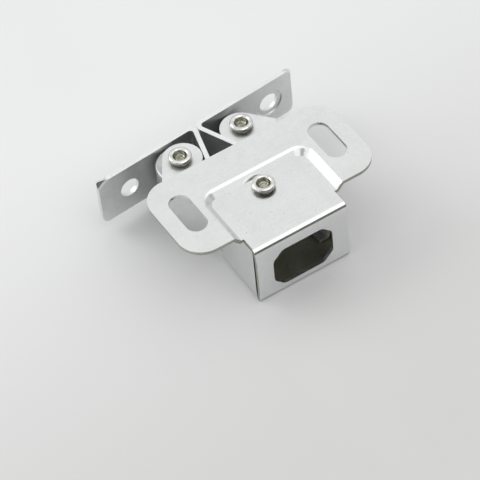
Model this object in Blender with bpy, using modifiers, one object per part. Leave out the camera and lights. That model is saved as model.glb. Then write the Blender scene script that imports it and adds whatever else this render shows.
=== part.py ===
"""Double roller catch: a folded steel housing, two pivoted arms with rollers, and the strike that they grip.

Metres, +Z up. The origin is on the underside of the housing's base plate. +X runs along the ears and +Y
points at the strike. The housing's window faces -Y. The arms, the rollers and the strike lie as they do with
the door closed, and swung a few degrees about the centre rivet, which lets the pair find the strike.
"""
from math import acos, atan2, ceil, cos, hypot, pi, radians, sin, sqrt, tan

import bmesh
import bpy
from mathutils import Matrix, Vector

# Sheet and clearances
SHEET = 0.0008
GAP = 0.0003
RIVET_GAP = 0.00025

# Housing: overall
HEIGHT = 0.0170
EAR_SPAN = 0.0450
EAR_FRONT_Y = -0.0052
EAR_BACK_Y = 0.0163
EAR_CORNER_RADIUS = 0.0055
SLOT_SPACING = 0.0334
SLOT_WIDTH = 0.0046
SLOT_LENGTH = 0.0109
SLOT_BACK_SHIFT = 0.0005

# Housing: recessed field
RECESS_DEPTH = 0.0015
RECESS_SIDE_MARGIN = 0.0007
RECESS_BACK_Y = 0.0073
RECESS_CORNER_RADIUS = 0.0020
RECESS_SLOPE = 0.0014

# Housing: box under the field
BOX_WIDTH = 0.0216
BOX_FRONT_Y = -0.0095
FRONT_FOLD_RADIUS = 0.0010
SIDE_FOLD_RADIUS = 0.0010
SIDE_WALL_LENGTH = 0.0140
BASE_PLATE_LENGTH = 0.0190
WINDOW_SIDE_MARGIN = 0.00375
WINDOW_TOP_MARGIN = 0.0034
WINDOW_CHAMFER = 0.0023
WINDOW_BOTTOM_Z = 0.0019

# Rivets
PIVOT_Y = 0.0042
SHANK_RADIUS = 0.0019
RIVET_CUP_RADIUS = 0.00135
RIVET_CUP_DEPTH = 0.0011
RIVET_HEAD_RADIUS = 0.00245
RIVET_HEAD_HEIGHT = 0.0012
RIVET_CLINCH_RADIUS = 0.0025
RIVET_CLINCH_HEIGHT = 0.0006
HOLE_CLEARANCE = 0.0003

# Arms, in their own plan: u outwards from the middle, v back from the pivot
ROLLER_LINE_V = 0.01795
ROLLER_SPACING = 0.0156
LOBE_RADIUS = 0.0042
LOBE_INSET = 0.0005
SHOULDER_ANGLE = radians(36)
SHOULDER_OFFSET = 0.00415
SHOULDER_V = 0.0148
SHOULDER_RADIUS = 0.0013
HEEL_TO_WALL = 0.0010
HEEL_V = -0.0090
WAIST_V = 0.0015
EYE_RADIUS = 0.0040
EYE_BACK_ANGLE = radians(60)
EYE_FRONT_ANGLE = radians(-30)
INNER_EDGE_U = 0.0054
HEEL_PLATE_WIDTH = 0.0026
ARM_FOLD_RADIUS = 0.0006
FLOAT_ANGLE = radians(4.6)

# Rollers
ROLLER_RADIUS = 0.00495
ROLLER_PLAY = 0.0004
ROLLER_CHAMFER = 0.0003

# Strike, in its own plan: u across, w back from the roller line
STRIKE_SHEET = 0.0010
STRIKE_SPAN = 0.0493
STRIKE_HEIGHT = 0.0118
STRIKE_BOTTOM_Z = 0.0024
LEG_ANGLE = radians(19)
ROLLER_TO_LEG = 0.00028
NECK_GAP = 0.0003
FLANGE_BEND_RADIUS = 0.00125
CREST_W = -0.0046
CREST_RADIUS = 0.0014
TIP_W = -0.0105
TIP_RADIUS = 0.0012
FLANGE_HOLE_INSET = 0.0066
FLANGE_HOLE_RADIUS = 0.0022
COUNTERSINK_RADIUS = 0.0032
COUNTERSINK_DEPTH = 0.0006
FLANGE_BOTTOM_CORNER = 0.0016
FLANGE_TOP_CORNER = 0.0004

# Closing spring
WIRE_RADIUS = 0.00045
COIL_RADIUS = 0.0031
COIL_TURNS = 5
SPRING_LEG_V = -0.0072

# Steps on round stretches
ARC_STEP = radians(15)
TURNED_STEPS = 32
COIL_STEPS = 16
CROWN_STEPS = 8
FOLD_STEPS = 3
EAR_CORNER_STEPS = 5
RECESS_CORNER_STEPS = 8
SLOPE_STEPS = 5
FIELD_EDGE_STEPS = 2
FLANGE_CORNER_STEPS = 6

# How near two points are one, how flat two faces are one, and how far a cut runs past an edge
TOLERANCE = 0.000001
MERGE = 0.00001
FLAT_ANGLE = radians(0.2)
CUT_PAST = 0.0020

# Colours of the metals
SHEET_ZINC = (0.72, 0.73, 0.72)
NICKEL = (0.80, 0.80, 0.76)
ROLLER_STEEL = (0.62, 0.62, 0.62)
SPRING_STEEL = (0.45, 0.45, 0.45)

# Heights that follow
FIELD_TOP_Z = HEIGHT - RECESS_DEPTH
FIELD_UNDER_Z = FIELD_TOP_Z - SHEET
LEFT_ARM_TOP_Z = FIELD_UNDER_Z - GAP
RIGHT_ARM_TOP_Z = LEFT_ARM_TOP_Z - SHEET - GAP
ARM_HEIGHT = RIGHT_ARM_TOP_Z - SHEET - GAP
WINDOW_TOP_Z = FIELD_TOP_Z - WINDOW_TOP_MARGIN
ARM_TOP_Z = {"left": LEFT_ARM_TOP_Z, "right": RIGHT_ARM_TOP_Z}
SIDE = {"left": -1, "right": 1}

# Plan places that follow
SLOT_MID_Y = (EAR_FRONT_Y + EAR_BACK_Y) / 2 + SLOT_BACK_SHIFT
RECESS_HALF_WIDTH = BOX_WIDTH / 2 + RECESS_SIDE_MARGIN
WINDOW_WIDTH = BOX_WIDTH - 2 * WINDOW_SIDE_MARGIN
HEEL_U = BOX_WIDTH / 2 - SHEET - HEEL_TO_WALL
FLANGE_HOLE_SPACING = STRIKE_SPAN - 2 * FLANGE_HOLE_INSET
AXLE_U = ROLLER_SPACING / 2
HOLE_RADIUS = SHANK_RADIUS + HOLE_CLEARANCE
ROLLER_BORE_RADIUS = SHANK_RADIUS + ROLLER_PLAY + GAP
# The roller is pushed out square to the strike's leg, so the leg lies one roller radius from its middle.
LEG_TO_AXLE = ROLLER_RADIUS - ROLLER_PLAY + ROLLER_TO_LEG


def clear_scene():
    for item in list(bpy.data.objects):
        bpy.data.objects.remove(item, do_unlink=True)
    for group in list(bpy.data.collections):
        bpy.data.collections.remove(group)


def new_collection(name):
    group = bpy.data.collections.new(name)
    bpy.context.scene.collection.children.link(group)
    return group


def metal(name, colour, roughness):
    material = bpy.data.materials.new(name)
    material.use_nodes = True
    shader = material.node_tree.nodes["Principled BSDF"]
    shader.inputs["Base Color"].default_value = (*colour, 1)
    shader.inputs["Roughness"].default_value = roughness
    shader.inputs["Metallic"].default_value = 1
    return material


def put(name, mesh, group, material=None):
    """Makes an object of a mesh, in its collection and with its own material."""
    item = bpy.data.objects.new(name, mesh)
    group.objects.link(item)
    if material:
        mesh.materials.append(material)
    return item


def cutter(name, mesh):
    item = put(name, mesh, CUTTERS)
    item.hide_render = True
    item.display_type = "WIRE"
    return item


def cut(item, tool):
    step = item.modifiers.new(tool.name, "BOOLEAN")
    step.operation = "DIFFERENCE"
    step.solver = "EXACT"
    step.object = tool


def arc(centre, radius, start, end):
    """Points along an arc of the plan, both ends included."""
    steps = max(2, ceil(abs(end - start) / ARC_STEP))
    angles = [start + (end - start) * i / steps for i in range(steps + 1)]
    return [(centre[0] + radius * cos(a), centre[1] + radius * sin(a)) for a in angles]


def fillet(before, corner, after, radius):
    """The arc that rounds the corner of a path."""
    corner = Vector(corner)
    back = (Vector(before) - corner).normalized()
    ahead = (Vector(after) - corner).normalized()
    half = acos(max(-1, min(1, back.dot(ahead)))) / 2
    centre = corner + (back + ahead).normalized() * radius / sin(half)
    start = corner + back * radius / tan(half) - centre
    end = corner + ahead * radius / tan(half) - centre
    turn = start.angle_signed(end)
    steps = max(2, ceil(abs(turn) / ARC_STEP))
    points = []
    for i in range(steps + 1):
        spoke = start.copy()
        spoke.rotate(Matrix.Rotation(-turn * i / steps, 2))
        points.append(tuple(centre + spoke))
    return points


def prism(name, outline, bottom, top):
    """A closed solid of a plan outline between two heights."""
    mesh = bpy.data.meshes.new(name)
    shape = bmesh.new()
    ring = [shape.verts.new((x, y, bottom)) for x, y in outline]
    floor = shape.faces.new(ring)
    lifted = bmesh.ops.extrude_face_region(shape, geom=[floor])["geom"]
    moved = [v for v in lifted if isinstance(v, bmesh.types.BMVert)]
    bmesh.ops.translate(shape, verts=moved, vec=(0, 0, top - bottom))
    bmesh.ops.recalc_face_normals(shape, faces=shape.faces)
    shape.to_mesh(mesh)
    shape.free()
    return mesh


def cylinder(name, radius, bottom, top, low_radius=None):
    """A round cutter about the origin, from a lower height to a higher one."""
    mesh = bpy.data.meshes.new(name)
    shape = bmesh.new()
    bmesh.ops.create_cone(shape, cap_ends=True, segments=TURNED_STEPS,
                          radius1=low_radius or radius, radius2=radius, depth=top - bottom,
                          matrix=Matrix.Translation((0, 0, (top + bottom) / 2)))
    shape.to_mesh(mesh)
    shape.free()
    return mesh


def turned(name, profile, material, group):
    """A turned piece about its own Z axis; the profile runs down its outer side, top to bottom."""
    mesh = bpy.data.meshes.new(name)
    mesh.from_pydata([(r, 0, z) for r, z in profile], [(i, i + 1) for i in range(len(profile) - 1)], [])
    item = put(name, mesh, group, material)
    screw = item.modifiers.new("turning", "SCREW")
    screw.steps = TURNED_STEPS
    screw.render_steps = TURNED_STEPS
    screw.use_merge_vertices = True
    screw.merge_threshold = MERGE
    screw.use_smooth_shade = True
    return item


def recess_height(x, y):
    """Height of the top sheet's middle: the field, the rounded slope round it, and the ears' level."""
    across = abs(x) - (RECESS_HALF_WIDTH - RECESS_CORNER_RADIUS)
    along = y - (RECESS_BACK_Y - RECESS_CORNER_RADIUS)
    outside = hypot(max(across, 0), max(along, 0)) + min(max(across, along), 0) - RECESS_CORNER_RADIUS
    part = max(0, min(1, outside / RECESS_SLOPE))
    return FIELD_TOP_Z - SHEET / 2 + RECESS_DEPTH * part * part * (3 - 2 * part)


def round_ear_corner(x, y):
    """Moves a point of the square ear's corner grid so that the corner becomes a quarter circle."""
    reach = EAR_SPAN / 2 - EAR_CORNER_RADIUS
    across = (x - reach) / EAR_CORNER_RADIUS
    for edge, direction in ((EAR_BACK_Y, 1), (EAR_FRONT_Y, -1)):
        start = edge - direction * EAR_CORNER_RADIUS
        along = (y - start) * direction / EAR_CORNER_RADIUS
        if across > 0 and along > 0:
            shrink = max(across, along) / hypot(across, along)
            x = reach + across * shrink * EAR_CORNER_RADIUS
            y = start + direction * along * shrink * EAR_CORNER_RADIUS
            break
    return x, y


def spaced(start, end, count):
    return [start + (end - start) * i / count for i in range(count + 1)]


def housing_mesh():
    """The right half of the folded sheet's middle surface, open at X = 0."""
    middle = SHEET / 2
    half_box = BOX_WIDTH / 2
    fold_start_x = half_box - SIDE_FOLD_RADIUS
    corner_x = RECESS_HALF_WIDTH - RECESS_CORNER_RADIUS
    corner_y = RECESS_BACK_Y - RECESS_CORNER_RADIUS
    slope_end_x = RECESS_HALF_WIDTH + RECESS_SLOPE
    slope_end_y = RECESS_BACK_Y + RECESS_SLOPE
    ear_reach = EAR_SPAN / 2 - EAR_CORNER_RADIUS
    columns = {0.0, corner_x, fold_start_x, half_box, *spaced(half_box, RECESS_HALF_WIDTH, FIELD_EDGE_STEPS),
               *spaced(RECESS_HALF_WIDTH, slope_end_x, SLOPE_STEPS),
               *spaced(ear_reach, EAR_SPAN / 2, EAR_CORNER_STEPS)}
    columns = sorted(columns)
    levels = {EAR_FRONT_Y, *spaced(corner_y, slope_end_y, RECESS_CORNER_STEPS),
              *spaced(EAR_BACK_Y - EAR_CORNER_RADIUS, EAR_BACK_Y, EAR_CORNER_STEPS),
              *spaced(EAR_FRONT_Y, EAR_FRONT_Y + EAR_CORNER_RADIUS, EAR_CORNER_STEPS)}
    levels = sorted(levels, reverse=True)
    mesh = bpy.data.meshes.new("housing")
    shape = bmesh.new()
    made = {}

    def point(x, y, z):
        key = (round(x, 6), round(y, 6), round(z, 6))
        if key not in made:
            made[key] = shape.verts.new((x, y, z))
        return made[key]

    def quad(corners):
        shape.faces.new([point(*c) for c in corners])

    def top_point(x, y):
        rounded = round_ear_corner(x, y)
        return rounded[0], rounded[1], recess_height(*rounded)

    for y_back, y_front in zip(levels, levels[1:]):
        for x_in, x_out in zip(columns, columns[1:]):
            quad([top_point(x_in, y_back), top_point(x_in, y_front),
                  top_point(x_out, y_front), top_point(x_out, y_back)])

    # The field runs forward, folds down to the front wall, and folds under to the base plate.
    fold = FRONT_FOLD_RADIUS - middle
    fold_y = BOX_FRONT_Y + FRONT_FOLD_RADIUS
    top_arc = arc((fold_y, FIELD_TOP_Z - FRONT_FOLD_RADIUS), fold, pi / 2, pi)
    base_arc = arc((fold_y, FRONT_FOLD_RADIUS), fold, pi, 3 * pi / 2)
    side_start_y = BOX_FRONT_Y + SHEET + GAP
    side_end_y = BOX_FRONT_Y + SIDE_WALL_LENGTH
    base_end_y = BOX_FRONT_Y + BASE_PLATE_LENGTH
    relief_y = max(side_start_y, fold_y + GAP)
    wall_path = [(EAR_FRONT_Y, FIELD_TOP_Z - middle), *top_arc, *base_arc]
    box_columns = [x for x in columns if x <= half_box]
    for (y_a, z_a), (y_b, z_b) in zip(wall_path, wall_path[1:]):
        for x_in, x_out in zip(box_columns, box_columns[1:]):
            quad([(x_in, y_a, z_a), (x_in, y_b, z_b), (x_out, y_b, z_b), (x_out, y_a, z_a)])
    base_path = [fold_y, relief_y, side_end_y, base_end_y]
    base_columns = [x for x in columns if x <= fold_start_x + TOLERANCE]
    for y_a, y_b in zip(base_path, base_path[1:]):
        for x_in, x_out in zip(base_columns, base_columns[1:]):
            quad([(x_in, y_a, middle), (x_in, y_b, middle), (x_out, y_b, middle), (x_out, y_a, middle)])

    # The side wall folds up from the base plate.
    side_fold = arc((fold_start_x, SIDE_FOLD_RADIUS), SIDE_FOLD_RADIUS - middle, -pi / 2, 0)
    side_path = [*side_fold, (half_box - middle, FIELD_UNDER_Z - GAP)]
    for (x_a, z_a), (x_b, z_b) in zip(side_path, side_path[1:]):
        quad([(x_a, relief_y, z_a), (x_a, side_end_y, z_a), (x_b, side_end_y, z_b), (x_b, relief_y, z_b)])

    bmesh.ops.dissolve_limit(shape, angle_limit=FLAT_ANGLE, verts=shape.verts, edges=shape.edges)
    shape.to_mesh(mesh)
    shape.free()
    return mesh


def window_outline():
    half = WINDOW_WIDTH / 2
    inner = half - WINDOW_CHAMFER
    low = WINDOW_BOTTOM_Z + WINDOW_CHAMFER
    high = WINDOW_TOP_Z - WINDOW_CHAMFER
    return [(-inner, WINDOW_BOTTOM_Z), (inner, WINDOW_BOTTOM_Z), (half, low), (half, high),
            (inner, WINDOW_TOP_Z), (-inner, WINDOW_TOP_Z), (-half, high), (-half, low)]


def slot_outline():
    radius = SLOT_WIDTH / 2
    reach = SLOT_LENGTH / 2 - radius
    return [*arc((0, reach), radius, 0, pi), *arc((0, -reach), radius, pi, 2 * pi)]


def build_housing():
    item = put("housing", housing_mesh(), CATCH, metal("housing zinc", SHEET_ZINC, 0.32))
    mirror = item.modifiers.new("other half", "MIRROR")
    mirror.use_clip = True
    mirror.merge_threshold = MERGE
    wall = item.modifiers.new("sheet", "SOLIDIFY")
    wall.thickness = SHEET
    wall.offset = 0
    wall.use_even_offset = True
    for name, side in SIDE.items():
        slot = cutter(name + " slot", prism("slot", slot_outline(), -SHEET, 2 * SHEET))
        slot.location = (side * SLOT_SPACING / 2, SLOT_MID_Y, HEIGHT - SHEET)
        cut(item, slot)
    window = cutter("window", prism("window", window_outline(), -SHEET, 2 * SHEET))
    window.rotation_euler.x = pi / 2
    window.location.y = BOX_FRONT_Y + SHEET
    cut(item, window)
    field_hole = cutter("field hole", cylinder("field hole", HOLE_RADIUS, FIELD_UNDER_Z - SHEET, HEIGHT))
    field_hole.location.y = PIVOT_Y
    cut(item, field_hole)
    sunk_radius = HOLE_RADIUS + RIVET_CLINCH_RADIUS - SHANK_RADIUS
    growth = (sunk_radius - HOLE_RADIUS) / SHEET
    base_hole = cutter("base hole", cylinder("base hole", HOLE_RADIUS - growth * GAP, -SHEET, SHEET + GAP,
                                             sunk_radius + growth * SHEET))
    base_hole.location.y = PIVOT_Y
    cut(item, base_hole)
    return item


def rivet_profile(grip_bottom, grip_top, flush):
    """Rivet with a cup in its rolled head, over the grip, and a clinched end under it or sunk in it."""
    roll = (RIVET_HEAD_RADIUS - RIVET_CUP_RADIUS) / 2
    seat = grip_top + RIVET_GAP
    middle = RIVET_CUP_RADIUS + roll
    crown = [(middle + roll * cos(a), seat + RIVET_HEAD_HEIGHT * sin(a)) for a in spaced(pi, 0, CROWN_STEPS)]
    low = grip_bottom - RIVET_GAP
    if flush:
        end = [(SHANK_RADIUS, grip_bottom + SHEET), (RIVET_CLINCH_RADIUS, grip_bottom + RIVET_GAP / 2),
               (0, grip_bottom + RIVET_GAP / 2)]
    else:
        end = [(SHANK_RADIUS, low), (RIVET_CLINCH_RADIUS, low),
               (RIVET_CLINCH_RADIUS, low - RIVET_CLINCH_HEIGHT / 2),
               (0, low - RIVET_CLINCH_HEIGHT)]
    return [(0, seat + RIVET_HEAD_HEIGHT - RIVET_CUP_DEPTH), *crown, (SHANK_RADIUS, seat), *end]


def build_rivet(name, grip_bottom, grip_top, flush=False):
    return turned(name, rivet_profile(grip_bottom, grip_top, flush), metal(name + " nickel", NICKEL, 0.18),
                  CATCH)


def arm_outline():
    """Plan of the right arm, anticlockwise, with the points where its web starts and ends."""
    normal = (cos(SHOULDER_ANGLE), sin(SHOULDER_ANGLE))
    along = (sin(SHOULDER_ANGLE), -cos(SHOULDER_ANGLE))
    lobe_centre = (AXLE_U - LOBE_INSET, ROLLER_LINE_V)
    half_chord = sqrt(LOBE_RADIUS ** 2 - SHOULDER_OFFSET ** 2)
    leave = acos(SHOULDER_OFFSET / LOBE_RADIUS)
    foot = [centre + part * SHOULDER_OFFSET for centre, part in zip(lobe_centre, normal)]
    reach = (foot[1] - SHOULDER_V) / cos(SHOULDER_ANGLE)
    shoulder = (foot[0] + along[0] * reach, SHOULDER_V)
    top = (foot[0] - along[0] * half_chord, foot[1] - along[1] * half_chord)
    inner_drop = lobe_centre[0] - INNER_EDGE_U
    inner_angle = pi + acos(inner_drop / LOBE_RADIUS)
    lobe = arc(lobe_centre, LOBE_RADIUS, SHOULDER_ANGLE + leave, inner_angle)
    eye = arc((0, 0), EYE_RADIUS, EYE_BACK_ANGLE, 2 * pi + EYE_FRONT_ANGLE)
    waist = (HEEL_U, WAIST_V)
    heel = (HEEL_U, HEEL_V)
    rounded = fillet(top, shoulder, waist, SHOULDER_RADIUS)
    front = [(HEEL_U - HEEL_PLATE_WIDTH, HEEL_V), (HEEL_U - HEEL_PLATE_WIDTH, HEEL_V / 2)]
    inner_low = (INNER_EDGE_U, ROLLER_LINE_V / 2)
    outline = [*rounded[::-1], *lobe, inner_low, *eye, *front[::-1], heel, waist]
    return outline, rounded[-1], waist, heel


def arm_cavity(web_start, waist, heel):
    """Plan of what lies between the arm's two plates: inside the web, and past the open edges."""
    slant = Vector(waist) - Vector(web_start)
    slant.normalize()
    inward = Vector((slant.y, -slant.x))
    inner_start = Vector(web_start) + inward * SHEET - slant * SHEET
    turn = acos(max(-1, min(1, slant.dot(Vector((0, -1))))))
    inner_waist = (waist[0] - SHEET, waist[1] + SHEET * tan(turn / 2))
    far = EYE_RADIUS + CUT_PAST
    back = ROLLER_LINE_V + LOBE_RADIUS + CUT_PAST
    front = heel[1] - CUT_PAST
    return [tuple(inner_start), (inner_start.x + CUT_PAST, back), (-far, back), (-far, front),
            (heel[0] - SHEET, front), inner_waist]


def swing(side):
    """Turns a point of the right arm's plan, u and v, into the plan of the swung pair."""
    def place(u, v):
        x = side * u
        swung_x = x * cos(FLOAT_ANGLE) - v * sin(FLOAT_ANGLE)
        swung_y = x * sin(FLOAT_ANGLE) + v * cos(FLOAT_ANGLE)
        return swung_x, PIVOT_Y + swung_y
    return place


def build_arm(name, hand):
    side = SIDE[hand]
    top = ARM_TOP_Z[hand]
    bottom = top - ARM_HEIGHT
    outline, web_start, waist, heel = arm_outline()
    solid = [(side * u, v) for u, v in outline]
    mesh = prism(name, solid, bottom, top)
    item = put(name, mesh, CATCH, metal(name + " zinc", SHEET_ZINC, 0.30))
    round_web_edges(mesh, side)
    hollow = [(side * u, v) for u, v in arm_cavity(web_start, waist, heel)]
    cavity = cutter(name + " cavity", prism(name + " cavity", hollow, bottom + SHEET, top - SHEET))
    low, high = bottom - SHEET, top + SHEET
    pivot_hole = cutter(name + " pivot hole", cylinder("pivot hole", HOLE_RADIUS, low, high))
    axle_hole = cutter(name + " axle hole", cylinder("axle hole", HOLE_RADIUS, low, high))
    for tool, place in ((cavity, (0, 0)), (pivot_hole, (0, 0)), (axle_hole, (side * AXLE_U, ROLLER_LINE_V))):
        tool.parent = item
        tool.location = (place[0], place[1], 0)
        cut(item, tool)
    item.location.y = PIVOT_Y
    item.rotation_euler.z = FLOAT_ANGLE
    return item


def round_web_edges(mesh, side):
    """Rounds the folds between the arm's web and its two plates."""
    shape = bmesh.new()
    shape.from_mesh(mesh)
    edges = []
    for edge in shape.edges:
        a, b = (v.co for v in edge.verts)
        level = abs(a.z - b.z) < TOLERANCE
        outer = min(side * a.x, side * b.x) > HEEL_U - TOLERANCE
        forward = max(a.y, b.y) < SHOULDER_V
        if level and outer and forward:
            edges.append(edge)
    bmesh.ops.bevel(shape, geom=edges, offset=ARM_FOLD_RADIUS, segments=FOLD_STEPS, profile=0.5,
                    affect="EDGES")
    shape.to_mesh(mesh)
    shape.free()


def build_roller(name, hand):
    side = SIDE[hand]
    top = ARM_TOP_Z[hand] - SHEET - GAP
    bottom = ARM_TOP_Z[hand] - ARM_HEIGHT + SHEET + GAP
    edge = ROLLER_CHAMFER
    profile = [(ROLLER_BORE_RADIUS, top), (ROLLER_RADIUS - edge, top), (ROLLER_RADIUS, top - edge),
               (ROLLER_RADIUS, bottom + edge), (ROLLER_RADIUS - edge, bottom), (ROLLER_BORE_RADIUS, bottom),
               (ROLLER_BORE_RADIUS, top)]
    item = turned(name, profile, metal(name + " steel", ROLLER_STEEL, 0.35), CATCH)
    x, y = swing(side)(AXLE_U + ROLLER_PLAY * cos(LEG_ANGLE), ROLLER_LINE_V + ROLLER_PLAY * sin(LEG_ANGLE))
    item.location = (x, y, 0)
    return item


def strike_path():
    """Middle line of the right half of the strike, from the tip's middle to the flange's end."""
    half = STRIKE_SHEET / 2
    # A point lies on the leg's middle line where u cos + w sin equals this.
    leg_line = AXLE_U * cos(LEG_ANGLE) - LEG_TO_AXLE - half
    neck_centre_u = NECK_GAP / 2 + half + FLANGE_BEND_RADIUS
    neck_centre_w = (leg_line + FLANGE_BEND_RADIUS - neck_centre_u * cos(LEG_ANGLE)) / sin(LEG_ANGLE)
    flange_w = neck_centre_w + FLANGE_BEND_RADIUS
    crest = ((leg_line - CREST_W * sin(LEG_ANGLE)) / cos(LEG_ANGLE), CREST_W)
    tip_centre = (0, TIP_W + half + TIP_RADIUS)
    away = Vector(crest) - Vector(tip_centre)
    tip = arc(tip_centre, TIP_RADIUS, -pi / 2, atan2(away.y, away.x) - acos(TIP_RADIUS / away.length))
    leg_end_angle = pi + LEG_ANGLE
    neck = arc((neck_centre_u, neck_centre_w), FLANGE_BEND_RADIUS, leg_end_angle, pi / 2)
    turned_crest = fillet(tip[-1], crest, neck[0], CREST_RADIUS)
    start = neck[-1]
    reach = STRIKE_SPAN / 2 - start[0]
    angles = spaced(pi / 2, pi, FLANGE_CORNER_STEPS)[:-1]
    runs = [reach - FLANGE_BOTTOM_CORNER * (1 + cos(a)) for a in angles]
    flange = [(start[0] + run, flange_w) for run in (*runs, reach)]
    return [*tip, *turned_crest, *neck, *flange], flange_w


def corner_rise(from_end, radius):
    """How far a rounded corner has left the edge, a given distance from the strip's end."""
    if from_end >= radius:
        return 0
    return radius - sqrt(max(0, radius ** 2 - (radius - from_end) ** 2))


def strike_mesh():
    right, _ = strike_path()
    shape = bmesh.new()
    low = STRIKE_BOTTOM_Z
    high = STRIKE_BOTTOM_Z + STRIKE_HEIGHT
    end = right[-1][0]
    rows = []
    for u, w in right:
        from_end = end - u if w > 0 else end
        bottom = low + corner_rise(from_end, FLANGE_BOTTOM_CORNER)
        top = high - corner_rise(from_end, FLANGE_TOP_CORNER)
        rows.append((shape.verts.new((u, w, bottom)), shape.verts.new((u, w, top))))
    for (low_a, high_a), (low_b, high_b) in zip(rows, rows[1:]):
        shape.faces.new([low_a, low_b, high_b, high_a])
    mesh = bpy.data.meshes.new("strike")
    shape.to_mesh(mesh)
    shape.free()
    return mesh


def build_strike():
    item = put("strike", strike_mesh(), CATCH, metal("strike zinc", SHEET_ZINC, 0.30))
    mirror = item.modifiers.new("other half", "MIRROR")
    mirror.merge_threshold = MERGE
    wall = item.modifiers.new("sheet", "SOLIDIFY")
    wall.thickness = STRIKE_SHEET
    wall.offset = 0
    wall.use_even_offset = True
    _, flange_w = strike_path()
    for name, side in SIDE.items():
        u = side * FLANGE_HOLE_SPACING / 2
        height = STRIKE_BOTTOM_Z + STRIKE_HEIGHT / 2
        through = cutter(name + " flange hole",
                         cylinder("flange hole", FLANGE_HOLE_RADIUS, -STRIKE_SHEET, STRIKE_SHEET))
        growth = (COUNTERSINK_RADIUS - FLANGE_HOLE_RADIUS) / COUNTERSINK_DEPTH
        reach = STRIKE_SHEET / 2 + GAP
        sunk = cutter(name + " countersink",
                      cylinder("countersink", COUNTERSINK_RADIUS + growth * GAP,
                               reach - COUNTERSINK_DEPTH - 2 * GAP, reach, FLANGE_HOLE_RADIUS - growth * GAP))
        for tool in (through, sunk):
            tool.parent = item
            tool.location = (u, flange_w, height)
            tool.rotation_euler.x = pi / 2
            cut(item, tool)
    middle = swing(1)(0, ROLLER_LINE_V)
    item.location = (*middle, 0)
    item.rotation_euler.z = FLOAT_ANGLE
    return item


def build_spring():
    """Torsion spring round the centre rivet; its two legs press the arms' heels apart."""
    low = ARM_TOP_Z["left"] - ARM_HEIGHT + SHEET
    high = ARM_TOP_Z["right"] - SHEET
    start_z = low + 2 * GAP + WIRE_RADIUS
    end_z = high - 2 * GAP - WIRE_RADIUS
    leg_u = HEEL_U - SHEET - GAP - WIRE_RADIUS
    # Each leg leaves the coil at a tangent, past the middle, so the two legs cross in front of it.
    right_tangent = atan2(SPRING_LEG_V, leg_u) - acos(COIL_RADIUS / hypot(leg_u, SPRING_LEG_V))
    start = -pi - right_tangent
    end = right_tangent + 2 * pi * COIL_TURNS
    steps = COIL_TURNS * COIL_STEPS
    points = []
    for i in range(steps + 1):
        part = i / steps
        angle = start + (end - start) * part
        height = start_z + (end_z - start_z) * part
        points.append((COIL_RADIUS * cos(angle), COIL_RADIUS * sin(angle), height))
    left_end = (-leg_u, SPRING_LEG_V, start_z)
    right_end = (leg_u, SPRING_LEG_V, end_z)
    points = [left_end, *points, right_end]
    curve = bpy.data.curves.new("closing_spring", "CURVE")
    curve.dimensions = "3D"
    curve.bevel_depth = WIRE_RADIUS
    curve.bevel_resolution = 2
    curve.use_fill_caps = True
    line = curve.splines.new("POLY")
    line.points.add(len(points) - 1)
    for spot, place in zip(line.points, points):
        spot.co = (*place, 1)
    item = bpy.data.objects.new("closing_spring", curve)
    CATCH.objects.link(item)
    curve.materials.append(metal("spring steel", SPRING_STEEL, 0.35))
    item.location.y = PIVOT_Y
    item.rotation_euler.z = FLOAT_ANGLE
    return item


clear_scene()
CATCH = new_collection("double roller catch")
CUTTERS = new_collection("cutters")
build_housing()
for hand_name in SIDE:
    build_arm(hand_name + "_arm", hand_name)
    build_roller(hand_name + "_roller", hand_name)
    arm_top = ARM_TOP_Z[hand_name]
    axle = build_rivet(hand_name + "_axle", arm_top - ARM_HEIGHT, arm_top)
    axle.location = (*swing(SIDE[hand_name])(AXLE_U, ROLLER_LINE_V), 0)
centre = build_rivet("centre_rivet", 0, FIELD_TOP_Z, flush=True)
centre.location.y = PIVOT_Y
build_strike()
build_spring()
bpy.context.view_layer.update()
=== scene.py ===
"""Double roller catch on a pale studio floor.

The housing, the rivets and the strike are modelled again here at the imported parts' sizes and places, with rounded
edges and finer curves. The arms and the rollers are copies of their parts with rounded edges, and the spring is the
part itself. Lengths are in metres. In the plan of the arms and the strike, u runs across, v runs back from the
pivot, and w runs back from the rollers' line.
"""

from math import acos, atan2, ceil, cos, hypot, pi, radians, sin, sqrt, tan

import bpy
from mathutils import Matrix, Vector, noise


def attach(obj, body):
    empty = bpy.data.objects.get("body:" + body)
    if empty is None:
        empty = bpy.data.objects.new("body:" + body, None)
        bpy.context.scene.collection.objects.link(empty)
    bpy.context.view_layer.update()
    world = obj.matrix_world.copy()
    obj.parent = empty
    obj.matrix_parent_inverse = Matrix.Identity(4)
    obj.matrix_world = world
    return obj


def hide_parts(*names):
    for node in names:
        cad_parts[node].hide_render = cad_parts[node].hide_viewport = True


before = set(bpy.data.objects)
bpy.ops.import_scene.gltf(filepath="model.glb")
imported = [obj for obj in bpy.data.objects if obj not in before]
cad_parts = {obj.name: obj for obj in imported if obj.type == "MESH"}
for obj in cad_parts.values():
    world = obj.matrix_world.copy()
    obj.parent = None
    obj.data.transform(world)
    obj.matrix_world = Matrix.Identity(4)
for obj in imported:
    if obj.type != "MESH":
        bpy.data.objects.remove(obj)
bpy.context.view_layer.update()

# Sizes shared with the part: housing
SHEET = 0.0008
HALF = SHEET / 2
GAP = 0.0003
HEIGHT = 0.0170
EAR_SPAN = 0.0450
EAR_FRONT_Y = -0.0052
EAR_BACK_Y = 0.0163
EAR_CORNER = 0.0055
SLOT_SPACING = 0.0334
SLOT_WIDTH = 0.0046
SLOT_LENGTH = 0.0109
SLOT_MID_Y = 0.00605
FIELD_TOP = 0.0155
RECESS_DEPTH = HEIGHT - FIELD_TOP
RECESS_HALF = 0.0115
RECESS_BACK_Y = 0.0073
RECESS_CORNER = 0.0020
BOX_HALF = 0.0108
BOX_FRONT_Y = -0.0095
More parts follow.
